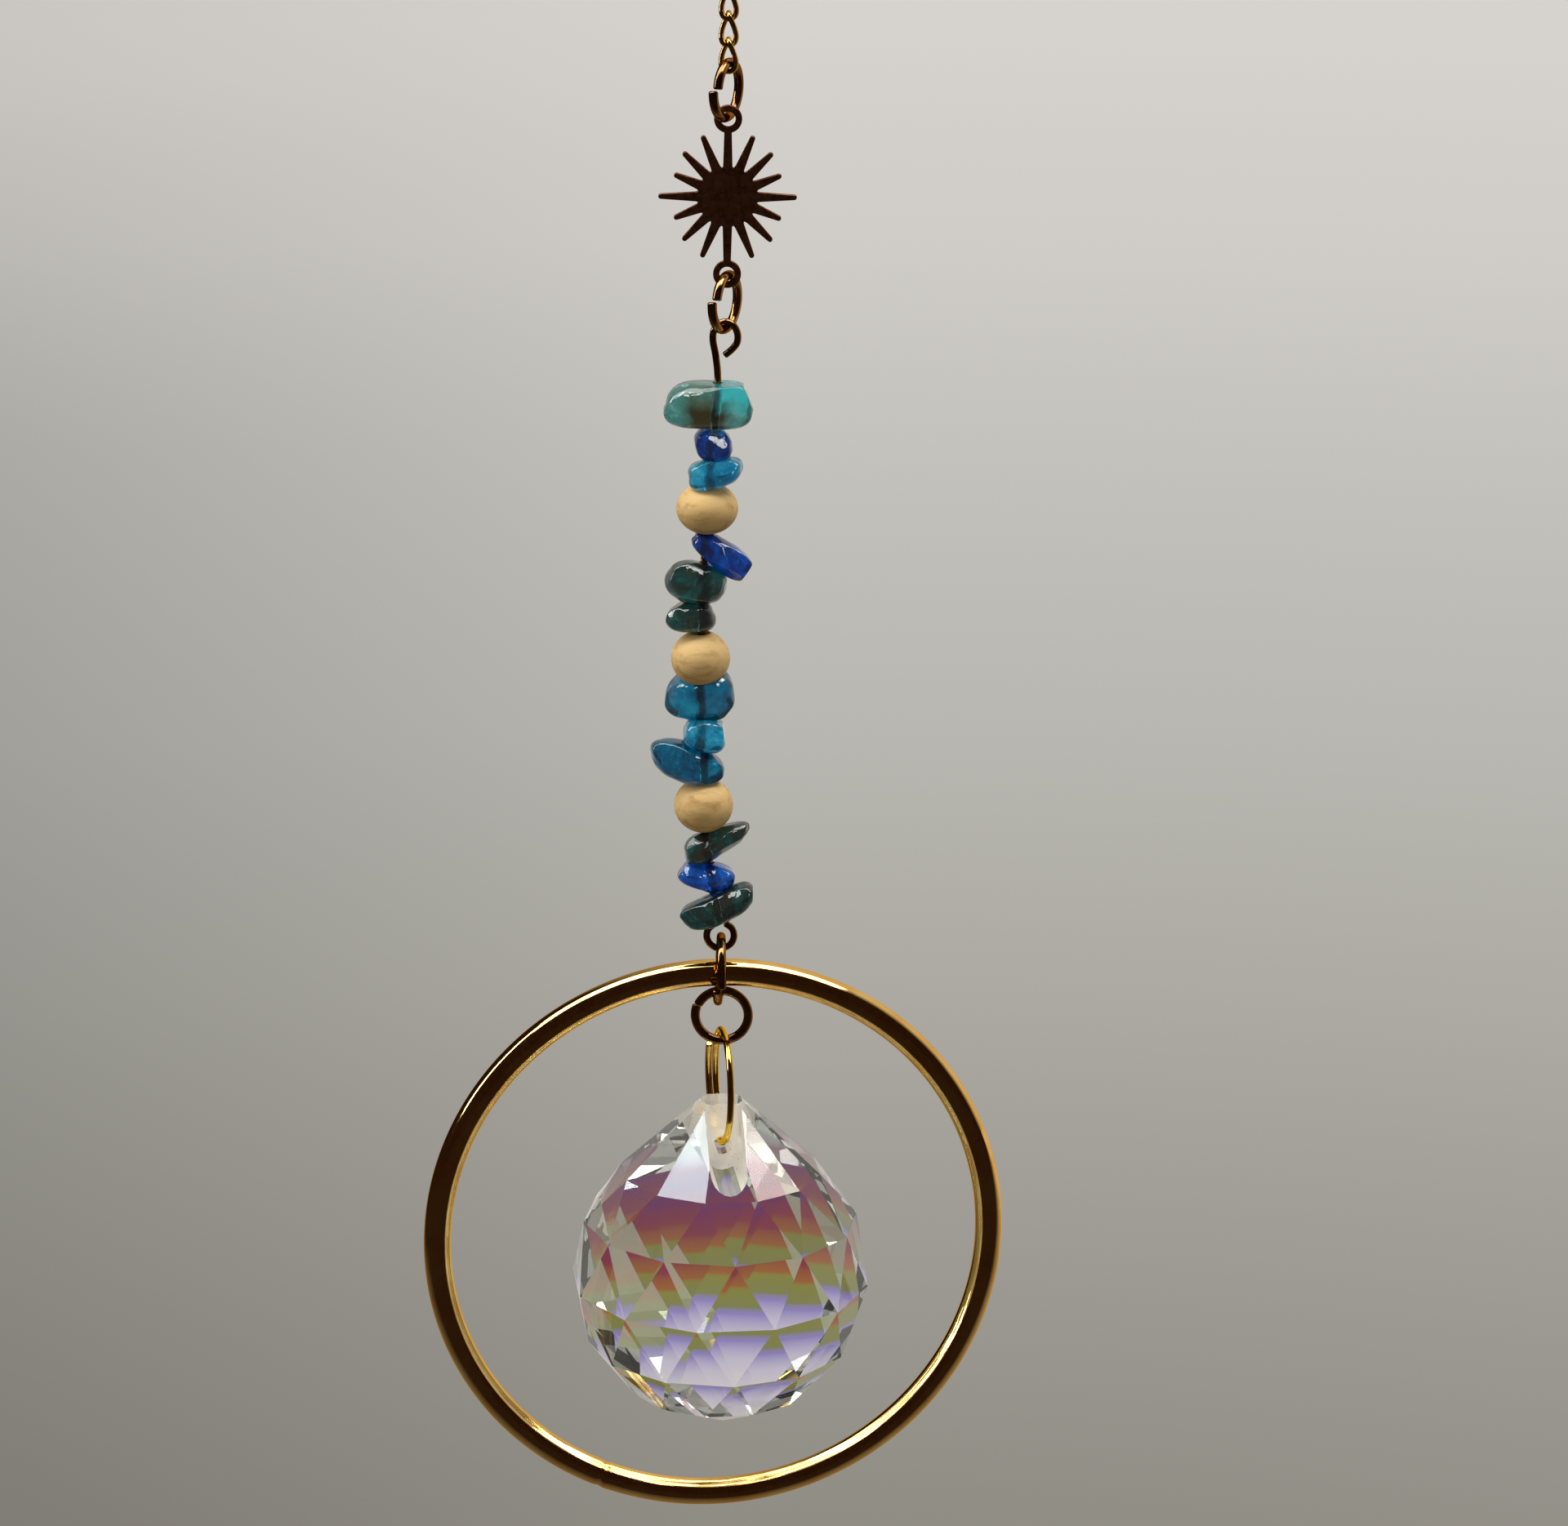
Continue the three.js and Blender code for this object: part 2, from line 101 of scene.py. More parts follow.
PIN_WIRE = 0.68
PIN_STEPS, SHANK_STEPS = 8, 40  # points between two knots, of the wire and of the drills' guide
HOOK_X, HOOK_RADIUS, HOOK_HEIGHT = -0.12, 1.2, 1.5
EYE_X, EYE_RADIUS, EYE_DROP = -0.2, 1.35, 61.85
# The bowed shank: distance to the side, distance below the top of the hook.
SHANK = (
    (-1.05, 3.2), (-0.82, 5.4), (-1.1, 9.6), (-1.75, 18.4), (-2.1, 26.0), (-2.32, 35.0),
    (-2.15, 43.5), (-1.9, 49.0), (-1.4, 54.0), (-0.75, 58.2), (-0.35, 60.0),
)

HOOP_RADIUS, HOOP_TUBE, HOOP_YAW = 27.83, 2.7, 7
HOOP_STEPS, HOOP_SIDES = 720, 32
SEAM_AT = 246  # degrees round the hoop, counter-clockwise from its right side
SEAM_GROOVE, SEAM_WIDTH = 0.07, 0.6  # share of the tube's girth, and degrees
SEAM_BEAD, BEAD_ASIDE, BEAD_WIDTH = 0.015, 1.6, 0.9

BAIL_RADIUS, BAIL_WIRE, BAIL_YAW = 5.6, 0.68, 10.4
BAIL_OVERLAP = 60  # degrees that the wire's ends run side by side
BAIL_SPREAD = 0.42
BAIL_STEPS = 160


# ---- mesh helpers ---------------------------------------------------------------------------
def middle(node):
    """The middle of a solid's box, in millimetres, as top() is too."""
    low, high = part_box(node)
    return (low + high) / 2 / MM


def top(node):
    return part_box(node)[1].z / MM


def piece(node, mesh, materials):
    """A finished piece that stands for one CAD node."""
    made = bpy.data.objects.new(node + "_fine", mesh)
    bpy.context.scene.collection.objects.link(made)
    for material in materials:
        mesh.materials.append(material)
    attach(made, "root")
    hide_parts(node)
    return made


def mesh_of(name, corners, faces):
    mesh = bpy.data.meshes.new(name)
    mesh.from_pydata([Vector(corner) * MM for corner in corners], [], faces)
    mesh.validate()
    mesh.shade_smooth()
    return mesh


def frames_along(points, closed):
    """A (side, up) pair at each point of a path, carried along it without twisting."""
    count = len(points)
    tangents = []
    for i in range(count):
        if closed:
            ahead, behind = points[(i + 1) % count], points[i - 1]
        else:
            ahead, behind = points[min(i + 1, count - 1)], points[max(i - 1, 0)]
        tangents.append((ahead - behind).normalized())
    side = tangents[0].orthogonal().normalized()
    frames = []
    for i, tangent in enumerate(tangents):
        if i:
            side = tangents[i - 1].rotation_difference(tangent) @ side
        side = (side - tangent * side.dot(tangent)).normalized()
        frames.append((side, tangent.cross(side)))
    if closed:
        carried = tangents[-1].rotation_difference(tangents[0]) @ frames[-1][0]
        first = frames[0]
        miss = math.atan2(carried.dot(first[1]), carried.dot(first[0]))
        for i, (a, b) in enumerate(frames):
            turn = -miss * i / count
            frames[i] = (
                a * math.cos(turn) + b * math.sin(turn),
                b * math.cos(turn) - a * math.sin(turn),
            )
    return frames


def wire(name, points, diameter, sides=20, closed=False, swell=None):
    """A round wire along the points, with chamfered ends where it is open."""
    radii = [diameter / 2 * (swell(i / len(points)) if swell else 1) for i in range(len(points))]
    if not closed:
        cut = diameter * 0.14
        for end, step in ((0, 1), (-1, -1)):
            along = (points[end + step] - points[end]).normalized()
            inner = points[end] + along * cut
            keep = 1 if end == 0 else len(points) - 1
            points = points[:keep] + [inner] + points[keep:]
            radii = radii[:keep] + [radii[end]] + radii[keep:]
        radii[0] = radii[-1] = diameter * 0.36
    corners, faces = [], []
    for point, radius, (a, b) in zip(points, radii, frames_along(points, closed)):
        for j in range(sides):
            angle = TAU * j / sides
            corners.append(point + (a * math.cos(angle) + b * math.sin(angle)) * radius)
    count = len(points)
    for i in range(count if closed else count - 1):
        for j in range(sides):
            k = (j + 1) % sides
            n = (i + 1) % count
            faces.append((i * sides + j, i * sides + k, n * sides + k, n * sides + j))
    if not closed:
        faces.append(tuple(reversed(range(sides))))
        faces.append(tuple(range((count - 1) * sides, count * sides)))
    mesh = mesh_of(name, corners, faces)
    if not closed:
        for face in list(mesh.polygons)[-2:]:
            face.use_smooth = False
    return mesh


def centripetal(knots, per_span):
    """A centripetal Catmull-Rom curve through the knots."""
    first = knots[0] * 2 - knots[1]
    last = knots[-1] * 2 - knots[-2]
    padded = [first, *knots, last]
    points = []
    for i in range(1, len(padded) - 2):
        a, b, c, d = padded[i - 1 : i + 3]
        t0 = max((b - a).length ** 0.5, 1e-4)
        t1 = max((c - b).length ** 0.5, 1e-4)
        t2 = max((d - c).length ** 0.5, 1e-4)
        m1 = ((b - a) / t0 - (c - a) / (t0 + t1) + (c - b) / t1) * t1
        m2 = ((c - b) / t1 - (d - b) / (t1 + t2) + (d - c) / t2) * t1
        for step in range(per_span):
            t = step / per_span
            points.append(
                b * (2 * t**3 - 3 * t**2 + 1)
                + m1 * (t**3 - 2 * t**2 + t)
                + c * (3 * t**2 - 2 * t**3)
                + m2 * (t**3 - t**2)
            )
    return points + [knots[-1]]


# ---- materials ------------------------------------------------------------------------------
class Finish:
    """A Principled material and the nodes that vary it over the surface, in the object's space."""

    def __init__(self, name, **sockets):
        self.material = bpy.data.materials.new(name)
        self.material.use_nodes = True
        self.tree = self.material.node_tree
        self.shader = self.tree.nodes["Principled BSDF"]
        self.set(**sockets)
        self.place = self.tree.nodes.new("ShaderNodeTexCoord").outputs["Object"]

    def set(self, **sockets):
        for key, value in sockets.items():
            self.shader.inputs[key.replace("_", " ")].default_value = value

    def node(self, kind, inputs=None, **settings):
        made = self.tree.nodes.new("ShaderNode" + kind)
        for key, value in settings.items():
            setattr(made, key, value)
        for key, value in (inputs or {}).items():
            if isinstance(value, bpy.types.NodeSocket):
                self.tree.links.new(value, made.inputs[key])
            else:
                made.inputs[key].default_value = value
        return made

    def maths(self, operation, *terms):
        return self.node("Math", dict(enumerate(terms)), operation=operation).outputs[0]

    def spread(self, value, start, end, low=0.0, high=1.0):
        """The value's place between start and end, as a number from low to high."""
        return self.node(
            "MapRange",
            {"Value": value, "From Min": start, "From Max": end, "To Min": low, "To Max": high},
        ).outputs[0]

    def axes(self, vector):
        return self.node("SeparateXYZ", {"Vector": vector}).outputs

    def stretched(self, x=1.0, y=1.0, z=1.0, turn=(0, 0, 0), shift=(0, 0, 0)):
        return self.node(
            "Mapping",
            {"Vector": self.place, "Scale": (x, y, z), "Rotation": turn, "Location": shift},
        ).outputs[0]

    def noise(self, scale, detail=3.0, roughness=0.5, at=None, distortion=0.0):
        """scale is in waves per metre."""
        return self.node(
            "TexNoise",
            {
                "Vector": at or self.place,
                "Scale": scale,
                "Detail": detail,
                "Roughness": roughness,
                "Distortion": distortion,
            },
        ).outputs["Fac"]

    def ramp(self, factor, *stops):
        """stops are (position, colour or grey)."""
        made = self.node("ValToRGB", {"Fac": factor})
        elements = made.color_ramp.elements
        while len(elements) < len(stops):
            elements.new(1.0)
        for element, (position, colour) in zip(elements, stops):
            element.position = position
            if not isinstance(colour, tuple):
                colour = (colour,) * 3
            element.color = (*colour, 1.0)
        return made.outputs["Color"]

    def mix(self, factor, a, b, blend="MIX"):
        made = self.node("Mix", data_type="RGBA", blend_type=blend)
        for socket, value in ((0, factor), (6, a), (7, b)):
            if isinstance(value, bpy.types.NodeSocket):
                self.tree.links.new(value, made.inputs[socket])
            elif socket == 0:
                made.inputs[socket].default_value = value
            else:
                value = value if isinstance(value, tuple) else (value,) * 3
                made.inputs[socket].default_value = (*value, 1.0)
        return made.outputs[2]

    def drive(self, key, source):
        self.tree.links.new(source, self.shader.inputs[key])

    def bump(self, height, distance, strength=1.0):
        """distance is in millimetres."""
        made = self.node(
            "Bump", {"Height": height, "Distance": distance * MM, "Strength": strength}
        )
        self.drive("Normal", made.outputs["Normal"])


def metal(name, bright, dull, roughness, tarnish=0.5, ripple=0.02):
    """Polished plate over wire: faint tarnish clouds, fine wear, a surface not quite true."""
    look = Finish(name, Metallic=1.0, Specular_Tint=(*bright, 1))
    clouds = look.noise(260, 4, 0.6)
    look.drive(
        "Base Color",
        look.ramp(clouds, (0.5 - tarnish * 0.3, dull), (0.5 + (1 - tarnish) * 0.3, bright)),
    )
    wear = look.noise(1900, 3, 0.6)
    look.drive("Roughness", look.ramp(wear, (0.3, roughness * 0.6), (0.75, roughness * 1.5)))
    look.bump(look.noise(420, 2, 0.4), ripple)
    return look.material


CRACK_WANDER = 0.0012  # how far the cracks stray from straight
CRACK_TONE = (0.75, 0.92, 0.92)
BAND_WOBBLE = 1.2  # mm that the edges of a band stray
BAND_BROWN = (0.045, 0.036, 0.008)
BAND_CYAN = (0.06, 0.66, 0.72)


def stone(name, deep, body, light, clear, seed, cracks=0.12):
    """Dyed, tumbled quartz: see-through with cloudy patches, fine cracks and grainy speckles."""
    look = Finish(name, Transmission_Weight=clear, IOR=1.5, Roughness=0.0)
    look.set(Coat_Weight=0.6, Coat_Roughness=0.03)
    at = look.stretched(shift=(seed, seed * 0.7, seed * 1.3))
    clouds = look.noise(300, 5, 0.6, at=at, distortion=0.8)
    colour = look.ramp(clouds, (0.36, deep), (0.5, body), (0.68, light))
    grains = look.ramp(look.noise(2400, 2, 0.7, at=at), (0.58, 0.0), (0.68, 0.55))
    colour = look.mix(grains, colour, light)

    wander = look.node("TexNoise", {"Vector": at, "Scale": 500.0}).outputs["Color"]
    bent = look.node("Mix", {0: CRACK_WANDER, 4: at, 5: wander}, data_type="VECTOR").outputs[1]
    edge = look.node(
        "TexVoronoi", {"Vector": bent, "Scale": 420.0}, feature="DISTANCE_TO_EDGE"
    ).outputs["Distance"]
    lines = look.ramp(edge, (0.0, 1.0), (0.02, 0.0))
    some = look.ramp(look.noise(260, 2, 0.5, at=at), (0.55, 0.0), (0.66, cracks))
    lines = look.mix(1.0, lines, some, "MULTIPLY")
    look.drive("Base Color", look.mix(lines, colour, CRACK_TONE))

    waves = look.noise(380, 2, 0.45, at=at)
    fine = look.noise(1500, 2, 0.5, at=at)
    look.bump(look.mix(0.12, waves, fine), 0.35, 0.8)
    return look, colour


def banded_stone(name, centre, seed):
    """Pale teal at its left end, olive brown through its middle and foot, a bright cyan corner."""
    deep, body, light = (0.03, 0.20, 0.17), (0.10, 0.42, 0.40), (0.45, 0.80, 0.78)
    look, colour = stone(name, deep, body, light, 0.85, seed, cracks=0.5)
    axes = look.axes(look.place)
    ragged = look.noise(420, 3, 0.6)

    def share(axis, start, end):
        """From none at start to all at end, in millimetres from the middle, with a ragged edge."""
        wobble = look.spread(ragged, 0.0, 1.0, -BAND_WOBBLE * MM, BAND_WOBBLE * MM)
        at = look.maths("ADD", axes["XYZ"[axis]], wobble)
        return look.spread(at, (centre[axis] + start) * MM, (centre[axis] + end) * MM)

    inner = look.maths("MULTIPLY", share(0, -2.8, -1.6), share(0, 2.6, 1.2))
    brown = look.maths("MULTIPLY", inner, share(2, 1.5, -0.1))
    corner = look.maths("MULTIPLY", share(0, 0.6, 0.9), share(2, -0.5, 0.0))
    colour = look.mix(brown, colour, BAND_BROWN)
    colour = look.mix(corner, colour, BAND_CYAN)
    look.drive("Base Color", colour)
    return look.material


def turned_wood(name):
    """Pale unvarnished wood: faint growth rings across the bead, fine pores along them."""
    look = Finish(name, Specular_IOR_Level=0.35)
    turn = (0.2, 0.12, 0)
    along, across = look.stretched(0.22, 1, 1, turn), look.stretched(0.2, 0.6, 1.3, turn)
    grain = look.noise(1100, 5, 0.65, at=along, distortion=0.3)
    rings = look.noise(520, 3, 0.55, at=across)
    colour = look.ramp(rings, (0.32, (0.74, 0.45, 0.17)), (0.62, (0.95, 0.64, 0.27)))
    pores = look.ramp(grain, (0.30, (0.50, 0.27, 0.08)), (0.50, (0.97, 0.68, 0.30)))
    look.drive("Base Color", look.mix(0.6, colour, pores))
    look.drive("Roughness", look.ramp(grain, (0.3, 0.6), (0.7, 0.4)))
    look.bump(grain, 0.05, 0.8)
    return look.material


# What light through the coating turns to, by height above the ball's centre in millimetres.
COATING = (
    (-17.0, (0.97, 0.94, 0.80)),
    (-12.0, (0.99, 0.97, 0.96)),
    (-9.0, (0.80, 0.75, 0.99)),
    (-7.3, (0.39, 0.31, 0.82)),
    (-6.7, (0.30, 0.31, 0.10)),
    (-5.0, (0.32, 0.32, 0.05)),
    (-4.6, (0.44, 0.15, 0.025)),
    (-3.7, (0.40, 0.10, 0.03)),
    (-3.0, (0.33, 0.020, 0.06)),
    (-1.6, (0.27, 0.008, 0.10)),
    (0.0, (0.19, 0.008, 0.20)),
    (2.2, (0.38, 0.06, 0.24)),
    (3.4, (0.66, 0.58, 0.72)),
    (5.0, (0.78, 0.88, 0.76)),
    (8.0, (0.94, 0.96, 0.92)),
)
# How much lower, in millimetres, the coating's colours sit on a facet that faces fully right, and
# on one that faces fully to either side.
COATING_SLANT = -2.4
COATING_BOW = 2.5
# The coating pales on facets that lean to a side: the lean at which that starts and ends, how far
# it goes, and the pale tone.
PALE_FROM, PALE_FULL, PALE_SHARE = 0.24, 0.62, 0.72
PALE_COATING = (0.82, 0.90, 0.70)
COATED_FROM, COATED_FULL = 1.0, 5.0  # Y at which the coating starts and is full
CLEAR_GLASS = (0.96, 0.98, 0.92)
NECK_TOP = 18.5  # above the ball's centre


def squared(tone):
    """One surface of clear glass lets through the square root of its base colour."""
    return tuple(share**2 for share in tone)


def cut_glass(name, ball_centre):
    """Clear lead glass; a rainbow coating on its back facets colours what shows through it."""
    look = Finish(name, Transmission_Weight=0.97, IOR=1.45, Roughness=0.0)
    axes = look.axes(look.place)
    lean = look.axes(look.node("NewGeometry").outputs["True Normal"])
    aside = look.maths("MULTIPLY", lean["X"], look.maths("SIGN", lean["Y"]))
    bowed = look.maths("MULTIPLY", look.maths("MULTIPLY", aside, aside), COATING_BOW * MM)
    lowered = look.maths("MULTIPLY_ADD", aside, COATING_SLANT * MM, bowed)
    height = look.maths("ADD", lowered, axes["Z"])
    low, high = COATING[0][0], COATING[-1][0]
    level = look.spread(height, (ball_centre.z + low) * MM, (ball_centre.z + high) * MM)
    rainbow = look.ramp(level, *[((z - low) / (high - low), squared(tone)) for z, tone in COATING])
    outer = look.spread(look.maths("ABSOLUTE", lean["X"]), PALE_FROM, PALE_FULL, 0.0, PALE_SHARE)
    rainbow = look.mix(outer, rainbow, squared(PALE_COATING))
    depth = look.spread(axes["Y"], COATED_FROM * MM, COATED_FULL * MM)
    look.drive("Base Color", look.mix(depth, CLEAR_GLASS, rainbow))
    return look.material


def ground_glass_with_glow(name):
    """The drilled hole and slots: the same glass, ground and not polished, with a faint cream glow
    painted on for the light gathered inside the glass.
    """
    look = Finish(name, Transmission_Weight=0.55, IOR=1.45)
    # Painted light: this faint cream emission makes the ground faces glow as if lit from inside
    # the glass.
    look.set(Emission_Color=(0.95, 0.88, 0.76, 1), Emission_Strength=0.16)
    grit = look.noise(3500, 2, 0.7)
    look.drive("Base Color", look.ramp(grit, (0.3, (0.88, 0.85, 0.78)), (0.7, (0.99, 0.97, 0.93))))
    look.drive("Roughness", look.ramp(grit, (0.3, 0.25), (0.7, 0.45)))
    look.bump(grit, 0.03, 0.6)
    return look.material


BRONZE = metal("bronze_wire", (0.46, 0.26, 0.11), (0.22, 0.11, 0.045), 0.13)
CHAIN = metal("chain_gold", (0.80, 0.56, 0.18), (0.48, 0.28, 0.09), 0.12)
CHARM = metal("charm_plate", (0.34, 0.15, 0.08), (0.27, 0.12, 0.065), 0.30, tarnish=0.5)
HOOP_GOLD = metal("hoop_gold", (1.0, 0.72, 0.29), (0.90, 0.54, 0.18), 0.08, ripple=0.02)
BAIL_GOLD = metal("bail_gold", (1.0, 0.72, 0.18), (0.82, 0.52, 0.12), 0.10)
WOOD = turned_wood("pale_wood")
ball_centre = Vector((0, 0, top("crystal") - NECK_TOP))
GLASS = cut_glass("crystal_glass", ball_centre)
GROUND_WITH_GLOW = ground_glass_with_glow("crystal_ground_glow")
# name, deep, body and light tones, clearness, seed
STONE_TONES = (
    ("stone_cobalt", (0.0005, 0.008, 0.09), (0.001, 0.045, 0.34), (0.004, 0.19, 0.85), 0.75, 0.2),
    ("stone_sky", (0.002, 0.15, 0.34), (0.003, 0.36, 0.68), (0.16, 0.82, 0.98), 0.7, 0.3),
    ("stone_ocean", (0.0005, 0.03, 0.08), (0.001, 0.13, 0.28), (0.002, 0.38, 0.58), 0.8, 0.4),
    ("stone_dark_teal", (0.045, 0.020, 0.010), (0.006, 0.030, 0.027), (0.012, 0.18, 0.17), 0.75,
     0.5),
)
STONES = {name: stone(name, *settings)[0].material for name, *settings in STONE_TONES}
STONES["stone_pale_teal"] = banded_stone("stone_pale_teal", middle("chip_long_teal"), 0.1)


# ---- rings and chain ------------------------------------------------------------------------
def ring_points(centre, radius, yaw, split, steps=96):
    """A split ring whose ends are pushed a little aside of each other."""
    start = math.radians(split) + RING_SPLIT / 2
    sweep = TAU - RING_SPLIT
    across = Vector((math.cos(math.radians(yaw)), math.sin(math.radians(yaw)), 0))
    aside = Vector((-across.y, across.x, 0))
    points = []
    for i in range(steps + 1):
        t = i / steps
        angle = start + sweep * t
        point = centre + across * radius * math.cos(angle) + aside * 0.5 * RING_WIRE * (0.5 - t)
        point.z += radius * math.sin(angle)
        points.append(point)
    return points


for node, radius, yaw, split in RINGS:
    points = ring_points(middle(node), radius, yaw, split)
    piece(node, wire(node, points, RING_WIRE), [BRONZE])


def link_points(high, steps=72):
    """An oval link that twists on its way down, from the middle of its wire at the top."""
    half_length = (LINK_LENGTH - LINK_WIRE) / 2
    half_width = (LINK_WIDTH - LINK_WIRE) / 2
    straight = half_length - half_width
    points = []
    for i in range(steps):
        angle = TAU * i / steps
        x = half_width * math.cos(angle)
        rise = math.sin(angle)
        side = math.copysign(1 - (1 - abs(rise)) ** 2, rise)
        z = half_width * rise + straight * side
        twist = math.radians(LINK_TOP_TURN + LINK_TWIST * (0.5 - z / (2 * half_length)))
        points.append(Vector((x * math.cos(twist), x * math.sin(twist), high - half_length + z)))
    return points


for number in range(1, LINKS + 1):
    node = f"chain_link_{number:02d}"
    points = link_points(top(node) - LINK_WIRE / 2)
    piece(node, wire(node, points, LINK_WIRE, LINK_SIDES, closed=True), [CHAIN])


# ---- eye pin --------------------------------------------------------------------------------
HOOK_TOP = top("eye_pin") - PIN_WIRE / 2


def pin_arc(x, drop, width, height, start, end, count):
    """Knots on an arc, from one angle to another in degrees, as (aside, drop)."""
    angles = [math.radians(start + (end - start) * i / count) for i in range(count + 1)]
    return [(x + width * math.cos(a), drop - height * math.sin(a)) for a in angles]


pin_knots = [
    (HOOK_X - 0.08, 3.3),
    (HOOK_X + 0.62, 2.7),
    *pin_arc(HOOK_X, HOOK_HEIGHT, HOOK_RADIUS, HOOK_HEIGHT, -20, 188, 6),
    *SHANK,
    *pin_arc(EYE_X, EYE_DROP, EYE_RADIUS, EYE_RADIUS, 118, 430, 9),
]


def pin_path(knots, steps):
    return centripetal([Vector((x, 0, HOOK_TOP - drop)) for x, drop in knots], steps)


pin_points = pin_path(pin_knots, PIN_STEPS)
piece("eye_pin", wire("eye_pin", pin_points, PIN_WIRE), [BRONZE])
shank_points = pin_path(SHANK, SHANK_STEPS)


def shank_at(z):
    """The shank's point nearest to a height."""
    return min(shank_points, key=lambda point: abs(point.z - z))


# ---- beads ----------------------------------------------------------------------------------
WOOD_HOLE, WOOD_LIP = 0.85, 0.16  # the hole's radius, and how far its lips are eased
WOOD_SIZES = {
    "wood_bead_upper": (6.0, 4.75),
    "wood_bead_middle": (5.75, 5.15),
    "wood_bead_lower": (5.8, 5.1),
}


def turned_bead(name, centre, width, height, turns=64, steps=40):
    """A flattened round with a straight hole whose lips are eased."""
    rim = math.acos((WOOD_HOLE + WOOD_LIP) / (width / 2))
    rise = height / 2 / math.sin(rim)
    profile = []
    for i in range(steps + 1):
        angle = rim * (2 * i / steps - 1)
        profile.append((width / 2 * math.cos(angle), rise * math.sin(angle)))
    lip = []
    for i in range(1, 5):
        turn = TAU / 16 * i
        out = WOOD_HOLE + WOOD_LIP * (1 - math.sin(turn))
        lip.append((out, height / 2 - WOOD_LIP * (1 - math.cos(turn))))
    profile += lip
    profile += [(out, -z) for out, z in reversed(lip)]
    corners = [
        centre + Vector((out * math.cos(TAU * k / turns), out * math.sin(TAU * k / turns), z))
        for k in range(turns)
        for out, z in profile
    ]
    rows = len(profile)
    faces = []
    for k in range(turns):
        n = (k + 1) % turns
        for i in range(rows):
            j = (i + 1) % rows
            faces.append((k * rows + i, n * rows + i, n * rows + j, k * rows + j))
    return mesh_of(name, corners, faces)


for node, (width, height) in WOOD_SIZES.items():
    piece(node, turned_bead(node, middle(node), width, height), [WOOD])

RIGHT, UP, DOWN = (1, 0, 0), (0, 0, 1), (0, 0, -1)
# node, slot, (length, depth, thickness), tilt (right end up), lean (back up), boxy,
# taper (right end thicker), bend (ends up), seed, flats worn on it as (direction, share kept)
CHIPS = (
    ("chip_long_teal", "stone_pale_teal", (8.7, 4.6, 4.4), 0, 3, 2.9, -0.02, 0, 0.6,
     (((1, 0, 0.24), 0.84), (UP, 0.9), (DOWN, 0.92), ((0.3, -1, 0.35), 0.82))),
    ("chip_round_blue", "stone_cobalt", (3.8, 3.8, 3.4), 0, 0, 2.7, 0, 0, 2.1,
     (((0.3, -1, 0.5), 0.84), ((-0.6, -1, -0.2), 0.86))),
    ("chip_sky_blue", "stone_sky", (5.4, 3.8, 2.9), 10, 2, 2.9, 0.02, 0, 4.0,
     (((0.2, -1, 0.6), 0.81),)),
    ("chip_navy", "stone_cobalt", (6.2, 3.6, 2.9), -35, 0, 3.0, 0.22, 0, 1.3,
     ((RIGHT, 0.88), ((0.1, -1, 0.7), 0.8), ((0.2, -1, -0.8), 0.84))),
    ("chip_dark_teal", "stone_dark_teal", (6.1, 4.8, 4.3), -10, 0, 2.25, 0.0, 0.1, 3.1,
     (((-0.5, -1, 0.5), 0.82), ((0.6, -1, 0.2), 0.84))),
    ("chip_small_teal", "stone_dark_teal", (4.9, 4.0, 3.3), 9, 0, 2.6, 0.12, -0.2, 5.2,
     (((-0.8, -1, 0.4), 0.84),)),
    ("chip_large_blue", "stone_ocean", (6.9, 5.2, 5.3), 4, 8, 2.5, 0, 0, 0.2,
     (((-0.9, -0.6, 0.2), 0.84), ((0.4, -1, -0.3), 0.82), ((1, 0, -0.6), 0.88))),
    ("chip_small_cyan", "stone_sky", (4.3, 4.0, 3.2), -5, 0, 3.4, 0.05, 0, 2.8,
     (((0.25, -1, 0.35), 0.76), ((1, 0, 0.2), 0.86), ((0.3, 0, 1), 0.88))),
    ("chip_long_blue", "stone_ocean", (7.7, 4.6, 4.0), -15, 0, 2.3, 0.05, 0.12, 1.9,
     (((-0.7, -1, 0.25), 0.84), ((0.7, -1, 0.1), 0.84), ((-0.2, 0, -1), 0.9))),
    ("chip_dark_green", "stone_dark_teal", (7.1, 4.0, 3.0), 24, 0, 2.5, -0.2, 0, 3.7,
     (((-0.2, -1, 0.8), 0.78), ((0.4, -0.6, -0.8), 0.84))),
    ("chip_vivid_blue", "stone_cobalt", (5.6, 4.0, 3.0), -14, 0, 2.9, 0.1, 0, 0.9,
     (((-0.4, -1, 0.6), 0.8), ((0.7, -1, -0.3), 0.82), ((-1, 0, 0.2), 0.88))),
    ("chip_grey_teal", "stone_dark_teal", (7.8, 4.0, 2.9), 24, 5, 3.0, 0.02, 0.25, 4.6,
     (((0.5, -1, 0.6), 0.8), ((-0.5, -1, 0.2), 0.84), ((1, 0, -0.2), 0.88))),
)
CHIP_HOLE = 0.5  # radius
CHIP_EDGE = 40  # degrees between faces from which an edge stays sharp
# The drill follows the shank this far above and below a chip's middle, then goes straight on.
DRILL_REACH, DRILL_PAST = 2.5, 4
DRILL_SIDES = 24
FLAT_SOFTNESS = 0.12  # how much of the cut-off crown stays on a worn flat


def extent(made):
    """The low and high corners of a mesh being made."""
    low = Vector([min(v.co[i] for v in made.verts) for i in range(3)])
    high = Vector([max(v.co[i] for v in made.verts) for i in range(3)])
    return low, high


